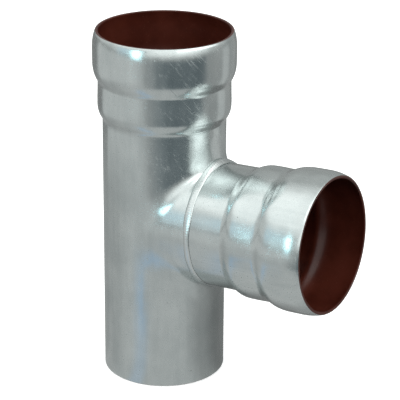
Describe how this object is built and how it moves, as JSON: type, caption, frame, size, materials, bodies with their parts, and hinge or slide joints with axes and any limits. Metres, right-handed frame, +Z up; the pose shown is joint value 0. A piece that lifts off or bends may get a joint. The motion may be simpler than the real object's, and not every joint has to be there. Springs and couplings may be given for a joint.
{
  "type": "drainage pipe tee",
  "caption": "Push-fit galvanised steel drainage tee: straight run with a bell socket above and a plain spigot below, and a welded side branch with its own bell socket.",
  "frame": {"origin": "centre of the bounding box's base, in the plane of the spigot's cut end", "axes": "+Z up along the run from spigot to socket, +X from the run towards the branch's mouth, +Y across"},
  "size_m": [0.159, 0.0842, 0.2123],
  "materials": {
    "zinc": "hot-dip galvanised, shiny grey with faint flow marks",
    "weld": "rippled weld bead under the same zinc",
    "coating": "semi-gloss red-brown inner coating"
  },
  "bodies": {
    "root": {"run_pipe": "zinc", "branch_socket": "zinc", "branch_weld": "weld", "run_coating": "coating", "branch_coating": "coating"}
  },
  "joints": []
}
